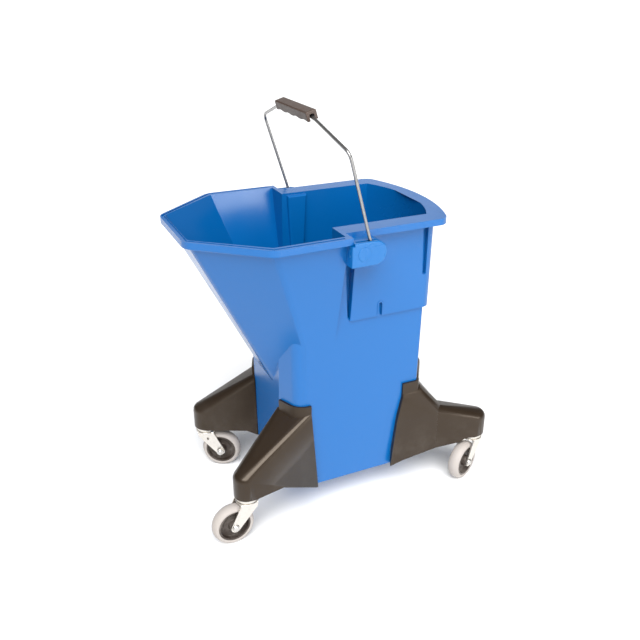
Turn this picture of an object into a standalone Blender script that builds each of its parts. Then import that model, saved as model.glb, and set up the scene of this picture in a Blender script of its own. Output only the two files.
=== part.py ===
"""Wheeled mop bucket: a hopper-mouthed bucket on four legs with swivel castors and a wire bail.

Metres, +Z up. The pouring spout points to -X and the wringer end to +X. The origin lies on
the floor under the middle of the bucket's overall length.
"""

import math

import bmesh
import bpy
from mathutils import Vector

# Bucket shell
WALL = 0.004
RIM_TOP = 0.5374
RIM_BASE = 0.5254
BASE_Z = 0.055
SHOULDER_Z = 0.375
FLANGE_DEEP = 0.011
FLANGE_THICK = 0.004
FLANGE_SKIRT = 0.0035
GAP = 0.0003
OVERSHOOT = 0.03

# Tank outlines: height, front x, front half width, corner x, side half width, end x, end bulge
TANK_BASE = (BASE_Z, -0.125, 0.058, -0.103, 0.1027, 0.124, 0.026)
TANK_SHOULDER = (SHOULDER_Z, -0.129, 0.063, -0.110, 0.110, 0.126, 0.030)
TANK_TOP = (RIM_TOP - FLANGE_THICK, -0.129, 0.063, -0.110, 0.108, 0.128, 0.031)

# Hopper outlines, half of each: spout corner, diagonal corner, jog corner
JOG_X = -0.041
HOPPER_TOP = ((-0.2705, 0.0694), (-0.1641, 0.1569), (JOG_X, 0.1558))
HOPPER_FOOT = ((-0.1024, 0.0309), (-0.0479, 0.0758), (JOG_X, 0.0766))
HOPPER_FOOT_Z = 0.20
HOPPER_WALL = 0.0045
HOPPER_RIM = ((-0.2745, 0.0720), (-0.1660, 0.1652), (-0.0382, 0.1635))

# Wringer section: the proud panel round the end and the flange that a wringer sits on
PANEL_BASE = (SHOULDER_Z, -0.0167, 0.1150, 0.132, 0.031)
PANEL_TOP = (RIM_TOP - FLANGE_THICK, -0.0090, 0.1175, 0.133, 0.032)
FLANGE = (-0.0450, 0.1370, 0.145, 0.0318)
GROOVE_TOP = (0.112, 0.124, 0.530)
GROOVE_TIP = (0.117, 0.120, 0.419)
GROOVE_FLOOR = 0.1115
NOTCH_X = 0.039
NOTCH_HALF = 0.0035
NOTCH_TOP = 0.390

# Bail and its pivots
PIVOT_X = -0.0036
PIVOT_Z = 0.5100
LEAN = math.radians(-16.5)
WIRE_R = 0.0025
WIRE_Y = 0.1622
WIRE_END_Y = 0.1390
WIRE_KINK = 0.030
BAIL_SHOULDER = (0.1695, 0.1631)
BAIL_CROWN = (0.0637, 0.1985)
BAIL_BENDS = (0.005, 0.010, 0.014, 0.014)
GRIP_LONG = 0.126
GRIP_WIDE = 0.018
GRIP_TOP = 0.0098
GRIP_DEEP = 0.0043
GRIP_SCALLOP = 0.0018
GRIP_FINGERS = 4

# Ears: a D-shaped block on each side that the wire's end turns in, and the cap over it
EAR_X = -0.0025
EAR_Z = 0.5105
EAR_R = 0.0195
EAR_LEFT = -0.0424
EAR_INNER = 0.1160
EAR_FACE = 0.1590
ROOT_RIGHT = -0.0060
ROOT_INNER = 0.1060
ROOT_OUTER = 0.1350
BORE_MOUTH_R = 0.0045
BORE_MOUTH_DEEP = 0.0020
CAP_INNER = 0.1652
CAP_OUTER = 0.1692
CAP_FLOOR = 0.4988
CAP_HEEL = -0.0345
PEG_R = 0.0020
PEG_LONG = 0.0080
PEG_SPOTS = ((EAR_X, 0.4950), (-0.0385, EAR_Z))

# Castors
WHEEL_R = 0.0375
TREAD_WIDE = 0.0232
HUB_R = 0.0285
TRAIL = 0.0285
FORK_SHEET = 0.0025
FORK_GAP = 0.0270
FORK_TOP = 0.0805
FORK_HEAD_R = 0.0200
FORK_EYE_R = 0.0085
AXLE_R = 0.0040
SLEEVE_R = 0.0062
STEM_R = 0.0055
STEM_LONG = 0.030
FOOT_Z = 0.0880

# Legs
FOOT_R = 0.0225
FOOT_TOP = 0.1370
LEG_CHAMFER = 0.008
LEG_WALL = 0.004
FRONT_STEM = (-0.2105, 0.1185)
REAR_STEM = (0.2510, 0.1185)
SCREW_R = 0.0022
SCREW_LONG = 0.018
SCREW_HEAD_R = 0.0045
SCREW_HEAD_DEEP = 0.0035
SCREW_SEAT = 0.0010
SCREW_BOSS_R = 0.0070
SCREW_HEIGHTS = {"lower": 0.100, "upper": 0.150}

# Which way each castor rolls at rest, in degrees from +X about +Z
HEADINGS = {"front_left": 3.0, "front_right": 151.0, "rear_left": 24.7, "rear_right": -38.0}

COLOURS = {
    "blue_plastic": ((0.010, 0.160, 0.640), 0.28, 0.0),
    "blue_cap": ((0.012, 0.170, 0.660), 0.30, 0.0),
    "black_plastic": ((0.040, 0.034, 0.030), 0.55, 0.0),
    "grip_plastic": ((0.055, 0.040, 0.034), 0.50, 0.0),
    "zinc": ((0.80, 0.78, 0.74), 0.30, 1.0),
    "wire_chrome": ((0.62, 0.62, 0.63), 0.22, 1.0),
    "grey_rubber": ((0.42, 0.39, 0.37), 0.60, 0.0),
    "hub_plastic": ((0.022, 0.018, 0.016), 0.45, 0.0),
    "steel": ((0.55, 0.55, 0.56), 0.30, 1.0),
}


def clear_scene():
    for item in list(bpy.data.objects):
        bpy.data.objects.remove(item, do_unlink=True)


def make_collection(name):
    group = bpy.data.collections.new(name)
    bpy.context.scene.collection.children.link(group)
    return group


def make_material(name):
    colour, roughness, metallic = COLOURS[name]
    material = bpy.data.materials.new(name)
    material.use_nodes = True
    shader = material.node_tree.nodes["Principled BSDF"]
    shader.inputs["Base Color"].default_value = (*colour, 1.0)
    shader.inputs["Roughness"].default_value = roughness
    shader.inputs["Metallic"].default_value = metallic
    material.diffuse_color = (*colour, 1.0)
    return material


clear_scene()
PARTS = make_collection("mop_bucket")
TOOLS = make_collection("cutters")
MATERIALS = {name: make_material(name) for name in COLOURS}


def place(name, mesh, material=None):
    """Put a mesh in the parts collection, or among the cutters when it has no material."""
    item = bpy.data.objects.new(name, mesh)
    if material is None:
        item.hide_render = True
        item.display_type = "WIRE"
        TOOLS.objects.link(item)
    else:
        mesh.materials.append(MATERIALS[material])
        PARTS.objects.link(item)
    return item


def mesh_of(name, bm):
    bmesh.ops.recalc_face_normals(bm, faces=bm.faces)
    mesh = bpy.data.meshes.new(name)
    bm.to_mesh(mesh)
    bm.free()
    return mesh


def hull(name, points, material=None):
    """Convex solid round a set of points, with its flat faces joined up."""
    bm = bmesh.new()
    for point in points:
        bm.verts.new(point)
    found = bmesh.ops.convex_hull(bm, input=bm.verts)
    spare = [item for item in found["geom_interior"] if isinstance(item, bmesh.types.BMVert)]
    bmesh.ops.delete(bm, geom=spare, context="VERTS")
    bmesh.ops.dissolve_limit(bm, angle_limit=0.002, verts=bm.verts, edges=bm.edges)
    return place(name, mesh_of(name, bm), material)


def drum(name, radius, low, high, material=None, sides=24):
    """Cylinder along Z between two heights."""
    bm = bmesh.new()
    bmesh.ops.create_cone(bm, cap_ends=True, segments=sides, radius1=radius, radius2=radius, depth=high - low)
    bmesh.ops.translate(bm, verts=bm.verts, vec=(0, 0, (low + high) / 2))
    return place(name, mesh_of(name, bm), material)


def turned(name, profile, material, closed=True, steps=24):
    """Solid turned about local Z from a profile of (radius, height), outer side running down."""
    mesh = bpy.data.meshes.new(name)
    edges = [(i, i + 1) for i in range(len(profile) - 1)]
    if closed:
        edges.append((len(profile) - 1, 0))
    mesh.from_pydata([(radius, 0, height) for radius, height in profile], edges, [])
    item = place(name, mesh, material)
    screw = item.modifiers.new("Turn", "SCREW")
    screw.steps = steps
    screw.render_steps = steps
    screw.use_merge_vertices = True
    screw.merge_threshold = 0.00001
    screw.use_smooth_shade = True
    return item


def combine(item, other, operation):
    modifier = item.modifiers.new(other.name, "BOOLEAN")
    modifier.operation = operation
    modifier.object = other
    modifier.solver = "EXACT"


def join(item, *others):
    for other in others:
        combine(item, other, "UNION")


def cut(item, *others):
    for other in others:
        combine(item, other, "DIFFERENCE")


def empty(name, location, parent=None, turn=(0, 0, 0)):
    item = bpy.data.objects.new(name, None)
    PARTS.objects.link(item)
    item.location = location
    item.rotation_euler = turn
    item.parent = parent
    return item


# Outlines

def bowed_end(corner_x, half, bulge, steps=10):
    """Points of a flat arc from (corner_x, -half) to (corner_x, half), bulging towards +X."""
    radius = (half * half + bulge * bulge) / (2 * bulge)
    swing = math.asin(half / radius)
    centre = corner_x + bulge - radius
    angles = [swing * (2 * i / steps - 1) for i in range(steps + 1)]
    return [(centre + radius * math.cos(a), radius * math.sin(a)) for a in angles]


def tank_outline(level):
    _, front_x, front_half, corner_x, side_half, end_x, bulge = level
    front = [(corner_x, side_half), (front_x, front_half), (front_x, -front_half), (corner_x, -side_half)]
    return bowed_end(end_x, side_half, bulge) + front


def panel_outline(left_x, side_half, end_x, bulge):
    return bowed_end(end_x, side_half, bulge) + [(left_x, side_half), (left_x, -side_half)]


def both_sides(half):
    """A half outline given on +Y, completed with its mirror image, in order round the outline."""
    return [(x, -y) for x, y in half] + [(x, y) for x, y in reversed(half)]


def inset(outline, distance):
    """Move each edge of a convex outline that runs anticlockwise inwards by a distance."""
    count = len(outline)
    area = sum(outline[i - 1][0] * outline[i][1] - outline[i][0] * outline[i - 1][1] for i in range(count))
    inward = distance if area > 0 else -distance
    lines = []
    for i in range(count):
        start = Vector(outline[i])
        along = (Vector(outline[(i + 1) % count]) - start).normalized()
        lines.append((start + Vector((-along.y, along.x)) * inward, along))
    moved = []
    for i in range(count):
        (a, u), (b, v) = lines[i - 1], lines[i]
        cross = u.x * v.y - u.y * v.x
        reach = ((b.x - a.x) * v.y - (b.y - a.y) * v.x) / cross
        moved.append((a.x + u.x * reach, a.y + u.y * reach))
    return moved


def at(outline, height):
    return [(x, y, height) for x, y in outline]


def ring(centre, radius, height, sides=16):
    turns = [2 * math.pi * i / sides for i in range(sides)]
    return [(centre[0] + radius * math.cos(t), centre[1] + radius * math.sin(t), height) for t in turns]


# Bucket

def tank_solid(name, offset, floor, top):
    """The tank's outer form moved inwards by an offset, from a floor height up to a top height."""
    base = at(inset(tank_outline(TANK_BASE), offset), floor)
    shoulder = at(inset(tank_outline(TANK_SHOULDER), offset), SHOULDER_Z)
    head = at(inset(tank_outline(TANK_TOP), offset), top)
    return hull(name, base + shoulder + head)


def hopper_solid(name, offset, top):
    reach = (top - HOPPER_FOOT_Z) / (RIM_TOP - HOPPER_FOOT_Z)
    crown = []
    for (x0, y0), (x1, y1) in zip(HOPPER_FOOT, HOPPER_TOP):
        crown.append((x0 + (x1 - x0) * reach, y0 + (y1 - y0) * reach))
    foot = at(inset(both_sides(HOPPER_FOOT), offset), HOPPER_FOOT_Z)
    return hull(name, foot + at(inset(both_sides(crown), offset), top))


def flange_solid():
    outline = panel_outline(*FLANGE)
    plate = hull("flange", at(outline, RIM_TOP) + at(outline, RIM_TOP - FLANGE_DEEP))
    hollow = inset(outline, FLANGE_SKIRT)
    under = hull("flange_hollow", at(hollow, RIM_TOP - FLANGE_THICK) + at(hollow, RIM_TOP - 2 * FLANGE_DEEP))
    cut(plate, under)
    return plate


def groove_cutter(name, side):
    left, right, top = GROOVE_TOP
    tip_left, tip_right, tip = GROOVE_TIP
    corners = []
    for y in (GROOVE_FLOOR, GROOVE_FLOOR + OVERSHOOT):
        corners += [(left, side * y, top), (right, side * y, top)]
        corners += [(tip_left, side * y, tip), (tip_right, side * y, tip)]
    return hull(name, corners)


def notch_cutter(name, side):
    corners = []
    for x in (NOTCH_X - NOTCH_HALF, NOTCH_X + NOTCH_HALF):
        for y in (GROOVE_FLOOR, GROOVE_FLOOR + OVERSHOOT):
            corners += [(x, side * y, NOTCH_TOP), (x, side * y, SHOULDER_Z - WALL)]
    return hull(name, corners)


def cross_drum(name, radius, side, spot, start, stop, sides=24):
    """Cylinder along Y through a spot (x, z), on one side of the bucket."""
    item = drum(name, radius, start, stop, sides=sides)
    item.location = (spot[0], 0, spot[1])
    item.rotation_euler = (-side * math.pi / 2, 0, 0)
    return item


def box_between(name, low, high, side):
    """Box between two corners, given for +Y and mirrored for the other side."""
    corners = []
    for x in (low[0], high[0]):
        for y in (low[1], high[1]):
            corners += [(x, side * y, low[2]), (x, side * y, high[2])]
    return hull(name, corners)


def ear_slab(name, side, inner, outer, material=None):
    """The ear's D shape as a slab between two distances from the bucket's middle."""
    turns = [math.pi * (i / 12 - 0.5) for i in range(13)]
    outline = [(EAR_X + EAR_R * math.cos(t), EAR_Z + EAR_R * math.sin(t)) for t in turns]
    outline += [(EAR_LEFT, EAR_Z + EAR_R), (EAR_LEFT, EAR_Z - EAR_R)]
    return hull(name, [(x, side * y, z) for x, z in outline for y in (inner, outer)], material)


def ear_bores(label, side):
    """The hole the wire's end turns in, its relieved mouth, and the cap's peg holes."""
    pivot = (PIVOT_X, PIVOT_Z)
    beyond = EAR_FACE + 0.002
    bore = cross_drum("wire_bore_" + label, WIRE_R + GAP, side, pivot, WIRE_END_Y - GAP, beyond)
    mouth = cross_drum("wire_mouth_" + label, BORE_MOUTH_R, side, pivot, EAR_FACE - BORE_MOUTH_DEEP, beyond)
    pegs = []
    for i, spot in enumerate(PEG_SPOTS):
        start = EAR_FACE - PEG_LONG - GAP
        pegs.append(cross_drum(f"peg_bore_{label}_{i}", PEG_R + GAP, side, spot, start, beyond, sides=12))
    return [bore, mouth] + pegs


def bucket_body():
    body = tank_solid("bucket_body", 0.0, BASE_Z, TANK_TOP[0])
    TOOLS.objects.unlink(body)
    PARTS.objects.link(body)
    body.hide_render = False
    body.display_type = "TEXTURED"
    body.data.materials.append(MATERIALS["blue_plastic"])
    hopper = hopper_solid("hopper_form", 0.0, RIM_TOP)
    rim = both_sides(HOPPER_RIM)
    rim_form = hull("rim_form", at(rim, RIM_BASE) + at(rim, RIM_TOP))
    low = panel_outline(*PANEL_BASE[1:])
    high = panel_outline(*PANEL_TOP[1:])
    panel = hull("panel_form", at(low, PANEL_BASE[0]) + at(high, PANEL_TOP[0]))
    join(body, hopper, rim_form, panel, flange_solid())
    for side, label in ((-1, "left"), (1, "right")):
        cut(body, groove_cutter("groove_" + label, side), notch_cutter("notch_" + label, side))
        root_low = (EAR_LEFT, ROOT_INNER, EAR_Z - EAR_R)
        root_high = (ROOT_RIGHT, ROOT_OUTER, RIM_TOP - FLANGE_THICK / 2)
        join(body, box_between("ear_root_" + label, root_low, root_high, side))
        join(body, ear_slab("ear_" + label, side, EAR_INNER, EAR_FACE))
    cut(body, tank_solid("tank_hollow", WALL, BASE_Z + WALL, RIM_TOP + OVERSHOOT))
    cut(body, hopper_solid("hopper_hollow", HOPPER_WALL, RIM_TOP + OVERSHOOT))
    for side, label in ((-1, "left"), (1, "right")):
        cut(body, *ear_bores(label, side))
    return body


def pivot_cap(name, side):
    """Snap-on cap: a D-shaped plate, a wall along its foot and heel, and two pegs.

    The wall leaves a slot behind the plate for the wire to swing in.
    """
    wall = EAR_FACE + GAP
    cap = ear_slab(name, side, wall, CAP_OUTER, "blue_cap")
    slot_low = (CAP_HEEL, wall - OVERSHOOT, CAP_FLOOR)
    slot_high = (EAR_X + 2 * EAR_R, CAP_INNER, EAR_Z + 2 * EAR_R)
    rim_low = (EAR_LEFT - OVERSHOOT, wall - OVERSHOOT, RIM_BASE - GAP)
    rim_high = (HOPPER_RIM[2][0] + GAP, CAP_OUTER + OVERSHOOT, RIM_TOP)
    cut(cap, box_between(name + "_slot", slot_low, slot_high, side))
    cut(cap, box_between(name + "_rim_relief", rim_low, rim_high, side))
    for i, spot in enumerate(PEG_SPOTS):
        peg = cross_drum(f"{name}_peg_{i}", PEG_R, side, spot, EAR_FACE - PEG_LONG, wall + 0.002, sides=12)
        join(cap, peg)
    return cap


# Bail

def eased(points, radii, steps=4):
    """A route through points with each inner corner rounded by an arc-like curve."""
    route = [points[0]]
    for before, corner, after, radius in zip(points, points[1:], points[2:], radii):
        back = (before - corner).normalized()
        ahead = (after - corner).normalized()
        for i in range(steps + 1):
            t = i / steps
            start = corner + back * radius * (1 - t)
            stop = corner + ahead * radius * t
            route.append(start.lerp(stop, t))
    route.append(points[-1])
    return route


def bail_route():
    """The turned-in end, leg, shoulder and crown of one side, and the same on the other."""
    end = Vector((0, -WIRE_END_Y, 0))
    corner = Vector((0, -WIRE_Y, 0))
    kink = Vector((0, -WIRE_Y, WIRE_KINK))
    shoulder = Vector((0, -BAIL_SHOULDER[0], BAIL_SHOULDER[1]))
    crown = Vector((0, -BAIL_CROWN[0], BAIL_CROWN[1]))
    middle = Vector((0, 0, BAIL_CROWN[1]))
    half = eased([end, corner, kink, shoulder, crown, middle], BAIL_BENDS)[:-1]
    return half + [Vector((p.x, -p.y, p.z)) for p in reversed(half)]


def solid_of_curve(curve, name, material, parent=None):
    """Turn a curve into a closed mesh object in the same place."""
    depsgraph = bpy.context.evaluated_depsgraph_get()
    mesh = bpy.data.meshes.new_from_object(curve.evaluated_get(depsgraph))
    mesh.name = name
    bm = bmesh.new()
    bm.from_mesh(mesh)
    bmesh.ops.remove_doubles(bm, verts=bm.verts, dist=0.00001)
    bm.to_mesh(mesh)
    bm.free()
    matrix = curve.matrix_world.copy()
    bpy.data.objects.remove(curve, do_unlink=True)
    mesh.materials.clear()
    item = place(name, mesh, material)
    item.parent = parent
    if parent is None:
        item.matrix_world = matrix
    return item


def wire(name, points, radius, material, parent):
    data = bpy.data.curves.new(name, "CURVE")
    data.dimensions = "3D"
    data.bevel_depth = radius
    data.bevel_resolution = 2
    data.use_fill_caps = True
    data.render_resolution_u = 0
    spline = data.splines.new("POLY")
    spline.points.add(len(points) - 1)
    for knot, point in zip(spline.points, points):
        knot.co = (*point, 1.0)
    item = bpy.data.objects.new(name, data)
    PARTS.objects.link(item)
    item.data.materials.append(MATERIALS[material])
    item.parent = parent
    return item


def bail_grip(parent):
    """Moulded grip with a finger-waved underside, bored for the wire."""
    waves = 6 * GRIP_FINGERS
    half = GRIP_LONG / 2
    outline = [(half, GRIP_TOP), (-half, GRIP_TOP)]
    for i in range(waves + 1):
        along = -half + GRIP_LONG * i / waves
        dip = GRIP_SCALLOP * (1 + math.cos(2 * math.pi * GRIP_FINGERS * i / waves)) / 2
        outline.append((along, -GRIP_DEEP - dip))
    data = bpy.data.curves.new("grip_outline", "CURVE")
    data.dimensions = "2D"
    data.fill_mode = "BOTH"
    data.extrude = GRIP_WIDE / 2
    data.render_resolution_u = 0
    spline = data.splines.new("POLY")
    spline.points.add(len(outline) - 1)
    for knot, (along, up) in zip(spline.points, outline):
        knot.co = (along, up, 0, 1)
    spline.use_cyclic_u = True
    curve = bpy.data.objects.new("grip_outline", data)
    PARTS.objects.link(curve)
    grip = solid_of_curve(curve, "handle_grip", "grip_plastic", parent)
    grip.rotation_euler = (math.pi / 2, 0, math.pi / 2)
    grip.location = (0, 0, BAIL_CROWN[1])
    soften = grip.modifiers.new("Rounded edges", "BEVEL")
    soften.width = 0.0025
    soften.segments = 1
    soften.limit_method = "ANGLE"
    soften.angle_limit = math.radians(50)
    crown = bail_route()
    reach = GRIP_LONG / 2 + 0.020
    run = [p for p in crown if abs(p.y) < reach]
    tunnel = wire("grip_bore", run, WIRE_R + GAP, "steel", None)
    tunnel = solid_of_curve(tunnel, "grip_bore_tool", "steel")
    PARTS.objects.unlink(tunnel)
    TOOLS.objects.link(tunnel)
    tunnel.hide_render = True
    tunnel.display_type = "WIRE"
    tunnel.parent = parent
    cut(grip, tunnel)
    return grip


# Legs

def leg_points(stem, side, body_points):
    """Corner points of one leg: a round foot hulled with the faces it fixes to."""
    centre = (stem[0], side * stem[1])
    points = ring(centre, FOOT_R, FOOT_Z)
    points += ring(centre, FOOT_R, FOOT_TOP - LEG_CHAMFER)
    points += ring(centre, FOOT_R - LEG_CHAMFER, FOOT_TOP)
    for x, y, low, high in body_points:
        points += [(x, side * y, low), (x, side * y, high)]
    return points


FRONT_BODY = (
    (-0.0740, 0.1135, BASE_Z, BASE_Z),
    (-0.0850, 0.1125, 0.218, 0.218),
    (-0.0880, 0.1065, 0.227, 0.227),
    (-0.1290, 0.0560, BASE_Z, 0.210),
    (-0.1240, 0.0660, 0.222, 0.222),
    (-0.0740, 0.0600, BASE_Z, 0.222),
)
REAR_BODY = (
    (0.0746, 0.1135, BASE_Z, BASE_Z),
    (0.0860, 0.1130, 0.150, 0.150),
    (0.1000, 0.0700, BASE_Z, 0.176),
    (0.1500, 0.1160, 0.070, 0.158),
    (0.1500, 0.1080, 0.070, 0.168),
    (0.1450, 0.0580, BASE_Z, 0.160),
)
REAR_GUSSET = (
    (0.0746, 0.1135, BASE_Z, BASE_Z),
    (0.0950, 0.1125, 0.219, 0.219),
    (0.0960, 0.1065, 0.227, 0.227),
    (0.1320, 0.1125, 0.080, 0.217),
    (0.1340, 0.1060, 0.080, 0.226),
    (0.1500, 0.0600, 0.080, 0.218),
    (0.1760, 0.1170, 0.085, 0.150),
    (0.1790, 0.1070, 0.085, 0.160),
    (0.1850, 0.0760, 0.085, 0.160),
)


def arch_cutter(name, stem, side, arch_x, body_x):
    """Takes away the underside between the foot and the bucket."""
    out = math.copysign(1.0, stem[0])
    corners = []
    for y in (0.0, side * 0.2):
        corners += [(stem[0] + out * 0.05, y, FOOT_Z), (arch_x, y, FOOT_Z), (body_x, y, BASE_Z)]
        corners += [(stem[0] + out * 0.05, y, 0.0), (body_x, y, 0.0)]
    return hull(name, corners)


def tank_clearance():
    return tank_solid("tank_clearance", -GAP, BASE_Z - GAP, TANK_TOP[0])


def leg_hollow(name, side, points, clearance):
    """Hollow under one leg, kept a wall away from the bucket."""
    form = hull(name, [(x, side * y, z) for x, y, z in points])
    cut(form, clearance)
    return form


FRONT_HOLLOW = (
    (-0.1830, 0.1080, 0.04),
    (-0.1830, 0.1220, 0.04),
    (-0.1830, 0.1080, 0.146),
    (-0.1830, 0.1190, 0.146),
    (-0.0820, 0.1085, 0.04),
    (-0.0900, 0.1070, 0.200),
    (-0.1270, 0.0650, 0.04),
    (-0.1270, 0.0660, 0.196),
    (-0.0900, 0.0700, 0.04),
    (-0.0900, 0.0700, 0.205),
)
REAR_HOLLOW = (
    (0.2230, 0.1100, 0.04),
    (0.2230, 0.1230, 0.04),
    (0.2230, 0.1100, 0.132),
    (0.2230, 0.1180, 0.132),
    (0.1200, 0.1090, 0.04),
    (0.1200, 0.1070, 0.190),
    (0.1450, 0.1040, 0.178),
    (0.1450, 0.0650, 0.04),
    (0.1450, 0.0660, 0.178),
    (0.1000, 0.0800, 0.04),
    (0.1000, 0.0800, 0.190),
)


def screw_seats(row):
    """Where one leg's screws enter the bucket: a point on its wall and the way in."""
    seats = {}
    for label, height in SCREW_HEIGHTS.items():
        share = (height - BASE_Z) / (SHOULDER_Z - BASE_Z)
        mix = [a + (b - a) * share for a, b in zip(TANK_BASE, TANK_SHOULDER)]
        _, front_x, front_half, corner_x, side_half, end_x, bulge = mix
        if row == "front":
            point = Vector(((front_x + corner_x) / 2, (front_half + side_half) / 2, height))
            inward = Vector((side_half - front_half, front_x - corner_x, 0)).normalized()
        else:
            radius = (side_half * side_half + bulge * bulge) / (2 * bulge)
            swing = 0.75 * math.asin(side_half / radius)
            centre = end_x + bulge - radius
            inward = Vector((-math.cos(swing), -math.sin(swing), 0))
            point = Vector((centre, 0, height)) - inward * radius
        seats[label] = (point, inward)
    return seats


def aim(item, point, inward, side):
    """Lay an object's local Z along the way in, at a point, on one side of the bucket."""
    way = Vector((inward.x, side * inward.y, inward.z))
    item.rotation_euler = way.to_track_quat("Z", "Y").to_euler()
    item.location = (point.x, side * point.y, point.z)


def leg_screw(name, point, inward, side):
    seat = -LEG_WALL - SCREW_SEAT
    head = seat - SCREW_HEAD_DEEP
    profile = [(0, SCREW_LONG + head), (SCREW_R, SCREW_LONG + head), (SCREW_R, seat)]
    profile += [(SCREW_HEAD_R, seat), (SCREW_HEAD_R, head), (0, head)]
    item = turned(name, profile, "steel", closed=False, steps=12)
    aim(item, point, inward, side)
    return item


def fix_leg(leg, body, name, row, side):
    """Screw one leg to the bucket: bosses and blind bores in the wall, and holes in the leg."""
    for label, (point, inward) in screw_seats(row).items():
        tag = name + "_" + label
        boss = drum(tag + "_boss", SCREW_BOSS_R, WALL / 4, SCREW_LONG - 0.003)
        aim(boss, point, inward, side)
        join(body, boss)
        bore = drum(tag + "_bore", SCREW_R + GAP, -OVERSHOOT / 2, SCREW_LONG - 0.006, sides=12)
        aim(bore, point, inward, side)
        cut(body, bore)
        cut(leg, bore)
        leg_screw(tag + "_screw", point, inward, side)


def make_leg(name, row, side, body, clearances):
    stem = FRONT_STEM if row == "front" else REAR_STEM
    if row == "front":
        leg = hull(name, leg_points(stem, side, FRONT_BODY), "black_plastic")
        hollow = leg_hollow(name + "_hollow", side, FRONT_HOLLOW, clearances["wall"])
        arch = arch_cutter(name + "_arch", stem, side, -0.146, -0.076)
    else:
        leg = hull(name, leg_points(stem, side, REAR_BODY), "black_plastic")
        gusset = []
        for x, y, low, high in REAR_GUSSET:
            gusset += [(x, side * y, low), (x, side * y, high)]
        join(leg, hull(name + "_gusset", gusset))
        hollow = leg_hollow(name + "_hollow", side, REAR_HOLLOW, clearances["wall"])
        arch = arch_cutter(name + "_arch", stem, side, 0.190, 0.105)
    socket = drum(name + "_socket", STEM_R + GAP, FOOT_Z - 0.01, FOOT_Z + STEM_LONG + GAP, sides=16)
    socket.location = (stem[0], side * stem[1], 0)
    cut(leg, arch, clearances["gap"], hollow, socket)
    fix_leg(leg, body, name, row, side)
    return leg


# Castors

def fork_mesh(name, parent):
    """Pressed fork: a round head with a cheek down each side to the axle."""
    fork = drum(name, FORK_HEAD_R, FORK_TOP - FORK_SHEET, FORK_TOP, "zinc", sides=24)
    for side, label in ((-1, "near"), (1, "far")):
        inner = side * FORK_GAP / 2
        outer = side * (FORK_GAP / 2 + FORK_SHEET)
        points = []
        for y in (inner, outer):
            points += [(-0.016, y, FORK_TOP), (0.014, y, FORK_TOP)]
            points += [(-0.018, y, FORK_TOP - 0.008), (0.013, y, FORK_TOP - 0.010)]
            for i in range(12):
                turn = 2 * math.pi * i / 12
                x = -TRAIL + FORK_EYE_R * math.cos(turn)
                points.append((x, y, WHEEL_R + FORK_EYE_R * math.sin(turn)))
        cheek = hull(name + "_" + label, points)
        cheek.parent = parent
        join(fork, cheek)
    reach = FORK_GAP / 2 + FORK_SHEET
    hole = drum(name + "_axle_hole", AXLE_R + GAP, -2 * reach, 2 * reach, sides=16)
    hole.location = (-TRAIL, 0, WHEEL_R)
    hole.rotation_euler = (math.pi / 2, 0, 0)
    hole.parent = parent
    bore = drum(name + "_stem_hole", STEM_R + GAP, 0.06, 0.10, sides=16)
    bore.parent = parent
    cut(fork, hole, bore)
    fork.parent = parent
    return fork


def castor(name, stem, side):
    """One castor on its swivel empty, with its wheel pieces on the axle's empty."""
    swivel = empty(name + "_swivel", (stem[0], side * stem[1], 0), turn=(0, 0, math.radians(HEADINGS[name])))
    axle_line = empty(name + "_axle_line", (-TRAIL, 0, WHEEL_R), parent=swivel, turn=(math.pi / 2, 0, 0))
    fork_mesh(name + "_fork", swivel)
    race_low = FORK_TOP + GAP
    race_high = FOOT_Z - GAP
    inner = STEM_R + GAP
    race = [(inner, race_high), (0.0195, race_high), (0.0185, race_low), (inner, race_low)]
    turned(name + "_race", race, "zinc").parent = swivel
    foot = FORK_TOP - FORK_SHEET - GAP
    stem_profile = [(0, FOOT_Z + STEM_LONG), (STEM_R - 0.001, FOOT_Z + STEM_LONG)]
    stem_profile += [(STEM_R, FOOT_Z + STEM_LONG - 0.003), (STEM_R, foot), (0.0085, foot)]
    stem_profile += [(0.0075, foot - 0.0015), (0, foot - 0.0015)]
    turned(name + "_stem", stem_profile, "steel", closed=False, steps=16).parent = swivel
    wheel(name, axle_line)


def wheel(name, axle_line):
    half = TREAD_WIDE / 2
    shoulder = 0.0035
    tread = [(HUB_R + GAP, half - 0.001), (WHEEL_R - 2 * shoulder, half - 0.001)]
    tread += [(WHEEL_R - shoulder, half - 0.0015), (WHEEL_R - 0.0008, half - 2 * shoulder), (WHEEL_R, 0)]
    tread += [(r, -h) for r, h in reversed(tread[:-1])]
    turned(name + "_tyre", tread, "grey_rubber", steps=32).parent = axle_line
    web = 0.003
    hub = [(SLEEVE_R + GAP, half + 0.0005), (0.0095, half + 0.0005), (0.0105, web)]
    hub += [(HUB_R - 0.003, web), (HUB_R - 0.003, half - 0.0015), (HUB_R, half - 0.0015)]
    hub += [(r, -h) for r, h in reversed(hub)]
    turned(name + "_hub", hub, "hub_plastic", steps=32).parent = axle_line
    reach = FORK_GAP / 2 - GAP
    bore = AXLE_R + GAP
    sleeve = [(bore, reach), (SLEEVE_R, reach), (SLEEVE_R, -reach), (bore, -reach)]
    turned(name + "_sleeve", sleeve, "steel", steps=16).parent = axle_line
    cheek = FORK_GAP / 2 + FORK_SHEET
    end = cheek + 0.0055
    head = cheek + GAP
    bolt = [(0, head + 0.004), (0.0060, head + 0.003), (0.0065, head), (AXLE_R, head)]
    bolt += [(AXLE_R, -end), (0, -end)]
    turned(name + "_axle_bolt", bolt, "steel", closed=False, steps=16).parent = axle_line
    nut = drum(name + "_axle_nut", 0.0072, -head - 0.0045, -head, "steel", sides=6)
    hole = drum(name + "_nut_bore", bore, -0.03, 0, sides=16)
    cut(nut, hole)
    for item in (nut, hole):
        item.parent = axle_line


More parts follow.
